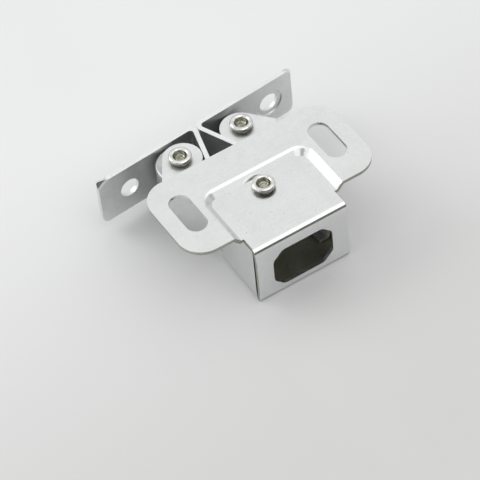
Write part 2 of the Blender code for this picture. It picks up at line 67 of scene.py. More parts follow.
FOLD = 0.0010
SIDE_FOLD_X = 0.0099
SIDE_WALL_END_Y = 0.0045
BASE_END_Y = 0.0095
WINDOW_HALF = 0.00705
WINDOW_BOTTOM_Z = 0.0019
WINDOW_TOP_Z = 0.0121
WINDOW_CHAMFER = 0.0023
PIVOT_Y = 0.0042
HOLE_RADIUS = 0.0022

# Rivets
SHANK_RADIUS = 0.0019
CUP_RADIUS = 0.00135
CUP_DEPTH = 0.0011
HEAD_RADIUS = 0.00245
HEAD_HEIGHT = 0.0012
CLINCH_RADIUS = 0.0025
CLINCH_HEIGHT = 0.0006
RIVET_GAP = 0.00025

# Arms and rollers
ARM_HEIGHT = 0.0122
ARM_TOP = {"left": 0.0144, "right": 0.0133}
SIDE = {"left": -1, "right": 1}
ROLLER_LINE_V = 0.01795
AXLE_U = 0.0078
FLOAT_ANGLE = radians(4.6)

# Strike
STRIKE_SHEET = 0.0010
STRIKE_SPAN = 0.0493
STRIKE_BOTTOM_Z = 0.0024
STRIKE_HEIGHT = 0.0118
LEG_ANGLE = radians(19)
LEG_LINE_U = 0.002045
NECK_GAP = 0.0003
NECK_RADIUS = 0.00125
CREST_W = -0.0046
CREST_RADIUS = 0.0014
TIP_W = -0.0105
TIP_RADIUS = 0.0012
FLANGE_HOLE_U = 0.01805
FLANGE_HOLE_RADIUS = 0.0022
FLANGE_BOTTOM_CORNER = 0.0016
FLANGE_TOP_CORNER = 0.0004

# Camera, fitted to the photograph
CAMERA_AZIMUTH = radians(-27.753)
CAMERA_ELEVATION = radians(49.021)
CAMERA_ROLL = radians(-6.397)
CAMERA_DISTANCE = 0.60717
CAMERA_LENS = 223.05
CAMERA_SHIFT_X = -0.008158
CAMERA_SHIFT_Y = 0.001946
SENSOR_WIDTH = 36

FACE_UP = (0, 0, 1)

# How near two points are one, and how flat two faces of a copied part are one
SAME = 0.000002
COPY_FLATNESS = radians(0.6)

# Steps of round shapes, and the angles from which edges are rounded and shaded sharp
ARC_STEP = radians(7)
FOLD_STEPS = 8
ROUND_STEPS = 64
BEVEL_ANGLE = radians(30)
SMOOTH_ANGLE = radians(35)

# Sockets of a Mix node's colours
MIX_FIRST = 6
MIX_SECOND = 7
MIX_RESULT = 2


def make_camera():
    """The photograph's camera: turned to face the origin, rolled, then moved sideways and up."""
    back = Vector((sin(CAMERA_AZIMUTH) * cos(CAMERA_ELEVATION), -cos(CAMERA_AZIMUTH) * cos(CAMERA_ELEVATION),
                   sin(CAMERA_ELEVATION)))
    level = Vector(FACE_UP).cross(back).normalized()
    upright = back.cross(level)
    right = cos(CAMERA_ROLL) * level + sin(CAMERA_ROLL) * upright
    up = cos(CAMERA_ROLL) * upright - sin(CAMERA_ROLL) * level
    data = bpy.data.cameras.new("photo_camera")
    data.lens = CAMERA_LENS
    data.sensor_width = SENSOR_WIDTH
    data.clip_start = 0.01
    camera = bpy.data.objects.new("photo_camera", data)
    bpy.context.scene.collection.objects.link(camera)
    turn = Matrix((right, up, back)).transposed().to_4x4()
    place = right * CAMERA_SHIFT_X + up * CAMERA_SHIFT_Y + back * CAMERA_DISTANCE
    camera.matrix_world = Matrix.Translation(place) @ turn
    bpy.context.scene.camera = camera


# Shader maths

class Amount:
    """A shader value that takes part in sums; each operator adds one Math node."""

    def __init__(self, shading, socket):
        self.shading = shading
        self.socket = socket

    def _join(self, operation, first, second):
        return self.shading.value("ShaderNodeMath", {"operation": operation}, {0: first, 1: second})

    def __add__(self, other):
        return self._join("ADD", self, other)

    def __radd__(self, other):
        return self._join("ADD", other, self)

    def __sub__(self, other):
        return self._join("SUBTRACT", self, other)

    def __rsub__(self, other):
        return self._join("SUBTRACT", other, self)

    def __mul__(self, other):
        return self._join("MULTIPLY", self, other)

    def __rmul__(self, other):
        return self._join("MULTIPLY", other, self)

    def between(self, low, high):
        """0 at low, 1 at high, smooth between them; low may be the greater."""
        return self.shading.value("ShaderNodeMapRange", {"interpolation_type": "SMOOTHSTEP"},
                                  {"Value": self, "From Min": low, "From Max": high})


class Shading:
    """A node tree whose nodes are added one at a time."""

    def __init__(self, tree):
        self.tree = tree

    def node(self, kind, settings=None, inputs=None):
        made = self.tree.nodes.new(kind)
        for key, setting in (settings or {}).items():
            setattr(made, key, setting)
        for key, given in (inputs or {}).items():
            if isinstance(given, Amount):
                given = given.socket
            if isinstance(given, bpy.types.NodeSocket):
                self.tree.links.new(given, made.inputs[key])
            else:
                made.inputs[key].default_value = given
        return made

    def value(self, kind, settings=None, inputs=None, output=0):
        return Amount(self, self.node(kind, settings, inputs).outputs[output])

    def axes(self, vector):
        parts = self.node("ShaderNodeSeparateXYZ", None, {"Vector": vector})
        return [Amount(self, parts.outputs[axis]) for axis in "XYZ"]

    def blend(self, amount, first, second):
        """The first colour at 0 and the second at 1; each is a tuple or a socket."""
        first, second = ((*colour, 1) if isinstance(colour, tuple) else colour for colour in (first, second))
        mix = self.node("ShaderNodeMix", {"data_type": "RGBA"},
                        {"Factor": amount, MIX_FIRST: first, MIX_SECOND: second})
        return mix.outputs[MIX_RESULT]


class Finish(Shading):
    """A material: a Principled shader with constants on its sockets and patterns on the rest."""

    def __init__(self, name, metallic=1.0, roughness=0.3):
        self.material = bpy.data.materials.new(name)
        self.material.use_nodes = True
        super().__init__(self.material.node_tree)
        self.shader = self.tree.nodes["Principled BSDF"]
        self.shader.inputs["Metallic"].default_value = metallic
        self.shader.inputs["Roughness"].default_value = roughness
        self.place = self.node("ShaderNodeTexCoord").outputs["Object"]

    def noise(self, scale, detail, rough, stretch=(1, 1, 1), turn=(0, 0, 0)):
        place = self.place
        if stretch != (1, 1, 1):
            place = self.node("ShaderNodeMapping", None,
                              {"Vector": place, "Scale": stretch, "Rotation": turn}).outputs["Vector"]
        return self.value("ShaderNodeTexNoise", {"noise_dimensions": "3D"},
                          {"Vector": place, "Scale": scale, "Detail": detail, "Roughness": rough})

    def feed(self, socket, given):
        if isinstance(given, Amount):
            given = given.socket
        self.tree.links.new(given, self.shader.inputs[socket])

    def bump(self, height, distance, strength):
        made = self.node("ShaderNodeBump", None,
                         {"Height": height, "Distance": distance, "Strength": strength})
        self.tree.links.new(made.outputs["Normal"], self.shader.inputs["Normal"])


SPECK_GREY = (0.48, 0.48, 0.45)


def zinc_plate(name, light, dark, grain_turn=(0, 0, 0), roughness=0.23):
    """Bright zinc on rolled sheet: cloudy plating, fine rolling grain, hairline scratches and dull specks."""
    finish = Finish(name, roughness=roughness)
    cloud = finish.noise(scale=150, detail=4, rough=0.55)
    mottle = finish.noise(scale=1500, detail=3, rough=0.6)
    grain = finish.noise(scale=2600, detail=2, rough=0.5, stretch=(0.08, 1, 1), turn=grain_turn)
    hairs = finish.noise(scale=900, detail=1, rough=0.4, stretch=(0.03, 1, 0.4), turn=(0.1, 0.2, 0.62))
    hairs = hairs.between(0.66, 0.70)
    specks = finish.noise(scale=2300, detail=1, rough=0.5).between(0.68, 0.76)
    tone = (cloud * 0.5 + mottle * 0.35 + grain * 0.15).between(0.36, 0.64)
    colour = finish.blend(tone, dark, light)
    colour = finish.blend(specks * 0.45, colour, SPECK_GREY)
    finish.feed("Base Color", colour)
    finish.feed("Roughness", roughness - 0.06 + cloud * 0.06 + mottle * 0.06 + grain * 0.04 + hairs * 0.01)
    finish.bump(cloud * 0.4 + mottle * 0.10 + grain * 0.06 - hairs * 0.002,
                distance=0.00004, strength=0.25)
    return finish.material


def turned_steel(name, light, dark, roughness):
    """Turned steel with fine rings of tool marks along its height and a few dull patches."""
    finish = Finish(name, roughness=roughness)
    rings = finish.noise(scale=5200, detail=2, rough=0.5, stretch=(0.02, 0.02, 1))
    patch = finish.noise(scale=320, detail=4, rough=0.6)
    finish.feed("Base Color", finish.blend(patch.between(0.38, 0.66), dark, light))
    finish.feed("Roughness", roughness - 0.06 + rings * 0.10 + patch * 0.06)
    finish.bump(rings, distance=0.00002, strength=0.4)
    return finish.material


def bright_nickel(name, light, dark, roughness):
    """Nickel plating with faint pressing marks."""
    finish = Finish(name, roughness=roughness)
    patch = finish.noise(scale=900, detail=3, rough=0.6)
    fine = finish.noise(scale=4200, detail=2, rough=0.5)
    finish.feed("Base Color", finish.blend(patch.between(0.35, 0.65), dark, light))
    finish.feed("Roughness", roughness - 0.05 + patch * 0.08 + fine * 0.04)
    finish.bump(patch * 0.7 + fine * 0.2, distance=0.00003, strength=0.35)
    return finish.material


# Modelling helpers

def deselect():
    for item in bpy.context.selected_objects:
        item.select_set(False)


def hold(item):
    """Makes one object the only one selected, and active."""
    deselect()
    item.select_set(True)
    bpy.context.view_layer.objects.active = item


def edit(item):
    hold(item)
    bpy.ops.object.mode_set(mode="EDIT")


def leave():
    bpy.ops.object.mode_set(mode="OBJECT")


def pick(item, kind, test):
    """Selects, in edit mode, the vertices or edges whose every point passes the test."""
    edit(item)
    bpy.ops.mesh.select_mode(type=kind)
    bpy.ops.mesh.select_all(action="DESELECT")
    leave()
    places = item.data.vertices
    if kind == "VERT":
        for spot in places:
            spot.select = test(spot.co)
    else:
        for edge in item.data.edges:
            edge.select = all(test(places[i].co) for i in edge.vertices)
    bpy.ops.object.mode_set(mode="EDIT")


def pull(*move):
    """Extrudes what is selected."""
    bpy.ops.mesh.extrude_region_move(TRANSFORM_OT_translate={"value": move})


def fold(angle, centre, axis, steps=FOLD_STEPS):
    """Spins what is selected by a right-handed angle; the operator itself counts the other way."""
    bpy.ops.mesh.spin(steps=steps, angle=-angle, center=centre, axis=axis)


def apply_all(item):
    hold(item)
    for modifier in list(item.modifiers):
        bpy.ops.object.modifier_apply(modifier=modifier.name)


def round_edges(item, width, segments=3):
    """Rounds the sharp edges and evens the shading of the flat faces between them."""
    bevel = item.modifiers.new("rounded edges", "BEVEL")
    bevel.limit_method = "ANGLE"
    bevel.angle_limit = BEVEL_ANGLE
    bevel.width = width
    bevel.segments = segments
    apply_all(item)
    bpy.ops.object.shade_smooth_by_angle(angle=SMOOTH_ANGLE)
    evened = item.modifiers.new("even shading", "WEIGHTED_NORMAL")
    evened.weight = 100
    evened.keep_sharp = True
    apply_all(item)


def face_out(item, outward):
    """Makes the sheet's faces agree, with the first one turned the given way."""
    edit(item)
    bpy.ops.mesh.select_all(action="SELECT")
    bpy.ops.mesh.remove_doubles(threshold=SAME)
    bpy.ops.mesh.normals_make_consistent(inside=False)
    leave()
    if item.data.polygons[0].normal.dot(Vector(outward)) < 0:
        edit(item)
        bpy.ops.mesh.select_all(action="SELECT")
        bpy.ops.mesh.flip_normals()
        leave()


def thicken(item, thickness):
    """Makes a solid sheet with the surface in its middle, once the modifier is applied."""
    wall = item.modifiers.new("sheet", "SOLIDIFY")
    wall.thickness = thickness
    wall.offset = 0
    wall.use_even_offset = True


def cut(item, tool):
    """Cuts a tool out of a piece and takes the tool away."""
    step = item.modifiers.new("cut", "BOOLEAN")
    step.operation = "DIFFERENCE"
    step.solver = "EXACT"
    step.object = tool
    apply_all(item)
    bpy.data.objects.remove(tool, do_unlink=True)


def settle(item):
    """Puts an object's own place and turn into its mesh."""
    hold(item)
    bpy.ops.object.transform_apply(location=True, rotation=True, scale=True)


def draw_line(name, points):
    """An object whose mesh is one line, drawn by pulling a single vertex from point to point."""
    deselect()
    bpy.ops.mesh.primitive_plane_add(size=HALF)
    item = bpy.context.object
    item.name = name
    item.data.name = name
    edit(item)
    bpy.ops.mesh.select_mode(type="VERT")
    bpy.ops.mesh.select_all(action="SELECT")
    bpy.ops.mesh.merge(type="CENTER")
    bpy.ops.transform.translate(value=points[0])
    for before, after in zip(points, points[1:]):
        pull(*(Vector(after) - Vector(before)))
    return item


def arc(centre, radius, start, end):
    """Points along an arc of the plan, both ends included."""
    steps = max(2, ceil(abs(end - start) / ARC_STEP))
    angles = [start + (end - start) * i / steps for i in range(steps + 1)]
    return [(centre[0] + radius * cos(a), centre[1] + radius * sin(a)) for a in angles]


def spaced(start, end, count):
    """Evenly spaced values from start to end, both included, count steps apart."""
    return [start + (end - start) * i / count for i in range(count + 1)]


def swing(x, v):
    """A point of the arms' own plan, v back from the pivot, in the housing's plan."""
    return (x * cos(FLOAT_ANGLE) - v * sin(FLOAT_ANGLE),
            PIVOT_Y + x * sin(FLOAT_ANGLE) + v * cos(FLOAT_ANGLE))


def refined_copy(name, node, edge):
    """A copy of a part with its doubles merged, its flat faces joined and its edges rounded."""
    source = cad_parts[node]
    item = source.copy()
    item.data = source.data.copy()
    for key in list(item.keys()):
        if key.startswith("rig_"):
            del item[key]
    item.parent = None
    item.name = name
    item.data.name = name
    bpy.context.scene.collection.objects.link(item)
    edit(item)
    bpy.ops.mesh.select_all(action="SELECT")
    bpy.ops.mesh.remove_doubles(threshold=SAME)
    bpy.ops.mesh.dissolve_limited(angle_limit=COPY_FLATNESS)
    leave()
    item.data.materials.clear()
    round_edges(item, edge)
    return item


def dress(item, materials, body, node):
    """Gives a piece its materials and its body, and hides the part that it stands for."""
    item.data.materials.clear()
    for material in materials:
        item.data.materials.append(material)
    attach(item, body)
    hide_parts(node)


# Finishes

HOUSING_ZINC = zinc_plate("housing_zinc", light=(0.785, 0.795, 0.795), dark=(0.735, 0.745, 0.745))
HOUSING_FOLD = zinc_plate("housing_fold", light=(0.79, 0.80, 0.80), dark=(0.74, 0.75, 0.75), roughness=0.17)
# Rims of the sheet, darker partly as cut edges and partly as painted shade; also the front fold's painted dark line
# of shade
CUT_EDGE_AND_PAINTED_SHADE = zinc_plate("cut_edge_and_painted_shade", light=(0.46, 0.46, 0.41), dark=(0.34, 0.34, 0.30), roughness=0.30)
# Painted highlight: the strike's top edge is coloured lighter
PAINTED_HIGHLIGHT_EDGE = zinc_plate("painted_highlight_edge", light=(0.88, 0.89, 0.89), dark=(0.82, 0.83, 0.83), roughness=0.16)
# Painted shade: the box's inside is coloured darker and olive
HOUSING_INTERIOR_PAINTED_SHADE = zinc_plate("housing_interior_painted_shade", light=(0.68, 0.68, 0.57), dark=(0.52, 0.52, 0.43),
                            roughness=0.30)
ARM_ZINC = zinc_plate("arm_zinc", light=(0.79, 0.80, 0.80), dark=(0.71, 0.72, 0.72), grain_turn=(0, 0, 1.2),
                      roughness=0.34)
STRIKE_ZINC = zinc_plate("strike_zinc", light=(0.78, 0.79, 0.79), dark=(0.70, 0.71, 0.71),
                         grain_turn=(0, 0, 0.1), roughness=0.38)
ROLLER_STEEL = turned_steel("roller_steel", light=(0.56, 0.56, 0.56), dark=(0.46, 0.46, 0.46), roughness=0.34)
NICKEL = bright_nickel("rivet_nickel", light=(0.76, 0.76, 0.74), dark=(0.64, 0.64, 0.61), roughness=0.10)
# Painted shade: the rivet's cup floor is coloured darker and olive, its wall and the head's underside darker still
CUP_SHADE_NICKEL = bright_nickel("rivet_painted_cup_shade", light=(0.46, 0.46, 0.37), dark=(0.20, 0.20, 0.15), roughness=0.14)
DEEP_SHADE_NICKEL = bright_nickel("rivet_deep_painted_shade", light=(0.20, 0.20, 0.16), dark=(0.10, 0.10, 0.08), roughness=0.20)
SPRING_WIRE = bright_nickel("spring_wire", light=(0.40, 0.40, 0.38), dark=(0.24, 0.24, 0.23), roughness=0.32)


# Housing

# The upper front fold is rounder than the part's. The front wall is widest at its folds and narrows from them
# over this many rows.
TOP_FOLD = 0.0014
FOLD_FLARE = 0.00012
WALL_PINCH = 0.0002
PINCH_ROWS = 1.2

# The recess's slope
RECESS_RAMP_ANGLE = radians(48)
RECESS_FOOT_RADIUS = 0.00012
RECESS_SHOULDER_RADIUS = 0.0009

# The top sheet's grid, fine where the recess slopes; and the rows of the front wall
FINE_CELL = 0.000075
FINE_X = (0.0093, 0.0135)
FINE_Y = (0.0051, 0.0093)
FIELD_COLUMNS = 6
EAR_COLUMNS = 3
EAR_CORNER_STEPS = 12
FRONT_ROWS = 4
BACK_ROWS = 2
WALL_ROWS = 6

# Cuts and edges; the hole in the base plate is dished
WINDOW_SOFT_CORNER = 0.0006
WINDOW_SOFT_STEPS = 4
BASE_HOLE_TOP = HOLE_RADIUS + 0.0007
BASE_HOLE_BOTTOM = HOLE_RADIUS - 0.0004
HOUSING_EDGE = 0.0002
SHEET_EDGE_STEPS = 4

# Finishes by number, how steep a face of each rim is, and the tilts at which the front fold gets its painted dark
# line of shade
HOUSING_FINISHES = (HOUSING_ZINC, HOUSING_INTERIOR_PAINTED_SHADE, HOUSING_FOLD, CUT_EDGE_AND_PAINTED_SHADE)
PLAIN, BOX_INTERIOR_SHADE, FOLDED, CUT_RIM_AND_PAINTED_LINE = range(4)
TOP_RIM_TILT = 0.35
WALL_RIM_TILT = 0.25
PAINTED_FOLD_SHADE_TILT = (radians(46), radians(67))
INTERIOR_SHADE_MARGIN = 0.6 * SHEET


def ramp(outside):
    """Height over the recessed field, a given way out: a crisp foot, a straight ramp and a soft shoulder."""
    turn = RECESS_RAMP_ANGLE
    foot = RECESS_FOOT_RADIUS * sin(turn)
    shoulder = RECESS_SHOULDER_RADIUS * sin(turn)
    foot_rise = RECESS_FOOT_RADIUS * (1 - cos(turn))
    shoulder_rise = RECESS_SHOULDER_RADIUS * (1 - cos(turn))
    width = foot + shoulder + (RECESS_DEPTH - foot_rise - shoulder_rise) / tan(turn)
    if outside <= 0:
        return 0
    if outside >= width:
        return RECESS_DEPTH
    if outside < foot:
        return RECESS_FOOT_RADIUS - sqrt(RECESS_FOOT_RADIUS ** 2 - outside ** 2)
    if outside > width - shoulder:
        left = width - outside
        return RECESS_DEPTH - RECESS_SHOULDER_RADIUS + sqrt(RECESS_SHOULDER_RADIUS ** 2 - left ** 2)
    return foot_rise + (outside - foot) * tan(turn)


def top_point(x, y):
    """The top sheet's middle surface: round ear corners, and the recess with its slopes."""
    reach = EAR_SPAN / 2 - EAR_CORNER
    across = (abs(x) - reach) / EAR_CORNER
    for edge, direction in ((EAR_BACK_Y, 1), (EAR_FRONT_Y, -1)):
        start = edge - direction * EAR_CORNER
        along = (y - start) * direction / EAR_CORNER
        if across > 0 and along > 0:
            shrink = max(across, along) / hypot(across, along)
            x = (reach + across * shrink * EAR_CORNER) * (1 if x > 0 else -1)
            y = start + direction * along * shrink * EAR_CORNER
            break
    over_x = abs(x) - (RECESS_HALF - RECESS_CORNER)
    over_y = y - (RECESS_BACK_Y - RECESS_CORNER)
    outside = hypot(max(over_x, 0), max(over_y, 0)) + min(max(over_x, over_y), 0) - RECESS_CORNER
    return x, y, FIELD_TOP - HALF + ramp(outside)


def grid_lines():
    """The columns and rows of the top sheet's grid."""
    reach = EAR_SPAN / 2 - EAR_CORNER
    fine_columns = round((FINE_X[1] - FINE_X[0]) / FINE_CELL)
    fine_rows = round((FINE_Y[1] - FINE_Y[0]) / FINE_CELL)
    right = [*spaced(0, FINE_X[0], FIELD_COLUMNS)[:-1],
             *spaced(*FINE_X, fine_columns)[:-1],
             *spaced(FINE_X[1], reach, EAR_COLUMNS)[:-1],
             *spaced(reach, EAR_SPAN / 2, EAR_CORNER_STEPS)]
    rows = [*spaced(EAR_FRONT_Y, EAR_FRONT_Y + EAR_CORNER, EAR_CORNER_STEPS)[:-1],
            *spaced(EAR_FRONT_Y + EAR_CORNER, FINE_Y[0], FRONT_ROWS)[:-1],
            *spaced(*FINE_Y, fine_rows)[:-1],
            *spaced(FINE_Y[1], EAR_BACK_Y - EAR_CORNER, BACK_ROWS)[:-1],
            *spaced(EAR_BACK_Y - EAR_CORNER, EAR_BACK_Y, EAR_CORNER_STEPS)]
    return [-x for x in right[:0:-1]] + right, rows


def top_sheet():
    """The ears and the recessed field, as a grid."""
    columns, rows = grid_lines()
    deselect()
    bpy.ops.mesh.primitive_grid_add(x_subdivisions=len(columns) - 1, y_subdivisions=len(rows) - 1, size=1)
    item = bpy.context.object
    item.name = "catch_housing"
    item.data.name = "catch_housing"
    for spot in item.data.vertices:
        column = round((spot.co.x + 0.5) * (len(columns) - 1))
        row = round((spot.co.y + 0.5) * (len(rows) - 1))
        spot.co = top_point(columns[column], rows[row])
    return item


def fold_front(item, fold_y):
    """The field's front edge runs forward, folds down into the front wall, and folds under it."""
    top_fold_y = BOX_FRONT_Y + TOP_FOLD
    wall_drop = (FIELD_TOP - TOP_FOLD - FOLD) / WALL_ROWS
    pick(item, "EDGE", lambda p: abs(p.y - EAR_FRONT_Y) < SAME and abs(p.x) < BOX_HALF + SAME)
    pull(0, top_fold_y - EAR_FRONT_Y, 0)
    fold(pi / 2, (0, top_fold_y, FIELD_TOP - TOP_FOLD), (1, 0, 0))
    for _ in range(WALL_ROWS):
        pull(0, 0, -wall_drop)
    fold(pi / 2, (0, fold_y, FOLD), (1, 0, 0))
    leave()
    for spot in item.data.vertices:
        if spot.co.y < fold_y - SAME:
            down = min(spot.co.z - FOLD, FIELD_TOP - TOP_FOLD - spot.co.z) / wall_drop
            flare = FOLD_FLARE if down < 0 else FOLD_FLARE - WALL_PINCH * min(1, down / PINCH_ROWS)
            lean = min(1, (fold_y - spot.co.y) / (FOLD - HALF))
            spot.co.x *= 1 + lean * flare / BOX_HALF


def fold_base(item, fold_y):
    """The base plate runs back from the lower fold, and its sides fold up into the side walls."""
    relief_y = fold_y + GAP
    pick(item, "EDGE", lambda p: abs(p.y - fold_y) < SAME and p.z < FOLD and abs(p.x) < SIDE_FOLD_X + SAME)
    for start, end in ((fold_y, relief_y), (relief_y, SIDE_WALL_END_Y), (SIDE_WALL_END_Y, BASE_END_Y)):
        pull(0, end - start, 0)
    leave()
    side_bend = BOX_HALF - SIDE_FOLD_X - HALF
    for side in (-1, 1):
        pick(item, "EDGE", lambda p: abs(p.x - side * SIDE_FOLD_X) < SAME and p.z < FOLD
             and relief_y - SAME < p.y < SIDE_WALL_END_Y + SAME)
        fold(-side * pi / 2, (side * SIDE_FOLD_X, 0, HALF + side_bend), (0, 1, 0))
        pull(0, 0, FIELD_TOP - SHEET - GAP - HALF - side_bend)
        leave()


def model_housing():
    """One sheet: a grid for the ears and the recess, pulled and folded into the box below."""
    item = top_sheet()
    fold_y = BOX_FRONT_Y + FOLD
    fold_front(item, fold_y)
    fold_base(item, fold_y)
    face_out(item, FACE_UP)
    return item


def box_tool(name, low, high):
    deselect()
    middle = [(a + b) / 2 for a, b in zip(low, high)]
    bpy.ops.mesh.primitive_cube_add(size=1, location=middle)
    tool = bpy.context.object
    tool.name = name
    tool.scale = [b - a for a, b in zip(low, high)]
    settle(tool)
    return tool


def round_tool(name, radius, low, high, at, low_radius=None, turn=(0, 0, 0)):
    """A cylinder, or a cone with another radius at its low end, turned and then moved."""
    deselect()
    bpy.ops.mesh.primitive_cone_add(vertices=ROUND_STEPS, radius1=low_radius or radius, radius2=radius,
                                    depth=high - low, location=(0, 0, (low + high) / 2))
    tool = bpy.context.object
    tool.name = name
    settle(tool)
    tool.rotation_euler = turn
    tool.location = at
    settle(tool)
    return tool


def slot_tool(x):
    """A round tool whose two halves are moved apart."""
    tool = round_tool("slot", SLOT_WIDTH / 2, FIELD_TOP - SHEET, HEIGHT + SHEET, (x, SLOT_MID_Y, 0))
    stretch = (SLOT_LENGTH - SLOT_WIDTH) / 2
    for direction in (-1, 1):
        pick(tool, "VERT", lambda p: (p.y - SLOT_MID_Y) * direction > SAME)
        bpy.ops.transform.translate(value=(0, direction * stretch, 0))
        leave()
    return tool


def window_tool():
    """A box whose four edges through the wall are cut off, and the eight that this leaves rounded."""
    tool = box_tool("window", (-WINDOW_HALF, BOX_FRONT_Y - SHEET, WINDOW_BOTTOM_Z),
                    (WINDOW_HALF, BOX_FRONT_Y + 2 * SHEET, WINDOW_TOP_Z))
    for size, steps in ((WINDOW_CHAMFER, 1), (WINDOW_SOFT_CORNER, WINDOW_SOFT_STEPS)):
        pick(tool, "EDGE", lambda p: False)
        leave()
        places = tool.data.vertices
        for edge in tool.data.edges:
            a, b = (places[i].co for i in edge.vertices)
            edge.select = abs(a.y - b.y) > SHEET
        bpy.ops.object.mode_set(mode="EDIT")
        bpy.ops.mesh.bevel(offset=size, segments=steps, affect="EDGES")
        leave()
    return tool


def housing_finish(face):
    """Rims darker partly as cut edges and partly as painted shade, the fold's painted dark line, painted shade in
    the box, plain zinc.
    """
    x, y, z = face.center
    in_slot = (abs(abs(x) - SLOT_SPACING / 2) < SLOT_WIDTH / 2 + GAP
               and abs(y - SLOT_MID_Y) < SLOT_LENGTH / 2 + GAP)
    top_rim = (abs(face.normal.z) < TOP_RIM_TILT and z > FIELD_TOP - SHEET
               and y > BOX_FRONT_Y + TOP_FOLD and not in_slot)
    wall_rim = (abs(face.normal.x) > WALL_RIM_TILT and y < BOX_FRONT_Y + SHEET
                and abs(x) > BOX_HALF - SHEET)
    # Rims are coloured darker, partly as cut edges and partly as painted shade
    if top_rim or wall_rim:
        return CUT_RIM_AND_PAINTED_LINE
    out = hypot(y - BOX_FRONT_Y - TOP_FOLD, z - FIELD_TOP + TOP_FOLD)
    if y < BOX_FRONT_Y + TOP_FOLD and z > FIELD_TOP - TOP_FOLD and out > TOP_FOLD - HALF:
        # Painted shade: a band low on the front fold is coloured dark, as a line of shade under its highlight
        tilt = atan2(-face.normal.y, face.normal.z)
        return CUT_RIM_AND_PAINTED_LINE if PAINTED_FOLD_SHADE_TILT[0] < tilt < PAINTED_FOLD_SHADE_TILT[1] else FOLDED
    # Painted shade inside the box
    inside = (abs(x) < BOX_HALF - INTERIOR_SHADE_MARGIN and BOX_FRONT_Y + INTERIOR_SHADE_MARGIN < y < BASE_END_Y - SHEET
              and INTERIOR_SHADE_MARGIN < z < FIELD_TOP - INTERIOR_SHADE_MARGIN)
    return BOX_INTERIOR_SHADE if inside else PLAIN


def make_housing():
    item = model_housing()
    thicken(item, SHEET)
    apply_all(item)
    pivot = (0, PIVOT_Y, 0)
    for side in (-1, 1):
        cut(item, slot_tool(side * SLOT_SPACING / 2))
    cut(item, window_tool())
    cut(item, round_tool("field hole", HOLE_RADIUS, FIELD_TOP - 2 * SHEET, HEIGHT, pivot))
    cut(item, round_tool("base hole", BASE_HOLE_TOP, -SHEET, 2 * SHEET, pivot, BASE_HOLE_BOTTOM))
    round_edges(item, HOUSING_EDGE, SHEET_EDGE_STEPS)
    dress(item, HOUSING_FINISHES, "housing_body", "housing")
    for face in item.data.polygons:
        face.material_index = housing_finish(face)


# Rivets

# How near the head sits over the sheet, and where its rolled bead ends below
HEAD_SEAT = 0.00003
BEAD_END = -pi / 5
BEAD_STEPS = 20

# Radius and rise along the half section: the cup's floor, the foot of the head, and the shank's two kinds of end
CUP_FOOT = CUP_RADIUS * 0.72
CUP_FLOOR = ((0, 0.00012), (CUP_FOOT * 0.5, 0.00009), (CUP_FOOT * 0.85, 0), (CUP_FOOT, 0.00006),
             (CUP_RADIUS * 0.90, 0.00040))
HEAD_FOOT = ((HEAD_RADIUS * 0.93, 0.00012), (HEAD_RADIUS * 0.90, 0), (SHANK_RADIUS, 0))
FLUSH_END = ((CLINCH_RADIUS * 0.98, 0.00012), (CLINCH_RADIUS * 0.92, 0), (0, 0))
CLINCHED_END = ((SHANK_RADIUS, 0), (CLINCH_RADIUS * 0.96, 0), (CLINCH_RADIUS, -0.00010),
                (CLINCH_RADIUS, -0.00035), (CLINCH_RADIUS * 0.93, -0.00048), (CLINCH_RADIUS * 0.7, -0.00056),
                (0, -CLINCH_HEIGHT))

# Small dents in the head
DENT_FREQUENCY = 900
DENT_OFFSET = 3000
DENT_RISE = 0.00005
DENT_ACROSS = 0.015
DENT_ALONG = 0.012
DENTS_START = CUP_RADIUS * 0.5
RIVET_SMOOTH_ANGLE = radians(40)

# Finishes by number, and how steep the faces of the cup's wall and the head's underside are
# The cup's floor gets painted shade, its wall and the head's underside deeper painted shade
RIVET_FINISHES = (NICKEL, CUP_SHADE_NICKEL, DEEP_SHADE_NICKEL)
BRIGHT, CUP_PAINTED_SHADE, DEEP_PAINTED_SHADE = range(3)
CUP_LIP = CUP_RADIUS * 0.35
CUP_WALL_TILT = 0.6
UNDERSIDE_TILT = 0.2


def rivet_profile(grip_bottom, grip_top, flush):
    """Half section, from the cup's middle over the rolled bead and down the shank to its end."""
    seat = grip_top + HEAD_SEAT
    head = HEAD_HEIGHT + RIVET_GAP - HEAD_SEAT
    crest_radius = (HEAD_RADIUS + CUP_RADIUS) / 2
    roll = HEAD_RADIUS - crest_radius
    rise = head - roll
    cup = seat + head - CUP_DEPTH
    profile = [(radius, cup + up) for radius, up in CUP_FLOOR]
    profile += [(crest_radius + roll * cos(a), seat + rise + roll * sin(a))
                for a in spaced(pi, BEAD_END, BEAD_STEPS)]
    profile += [(radius, seat + up) for radius, up in HEAD_FOOT]
    if flush:
        profile.append((SHANK_RADIUS, grip_bottom + SHEET))
    low = grip_bottom + RIVET_GAP / 2 if flush else grip_bottom - RIVET_GAP
    return profile + [(radius, low + up) for radius, up in (FLUSH_END if flush else CLINCHED_END)]


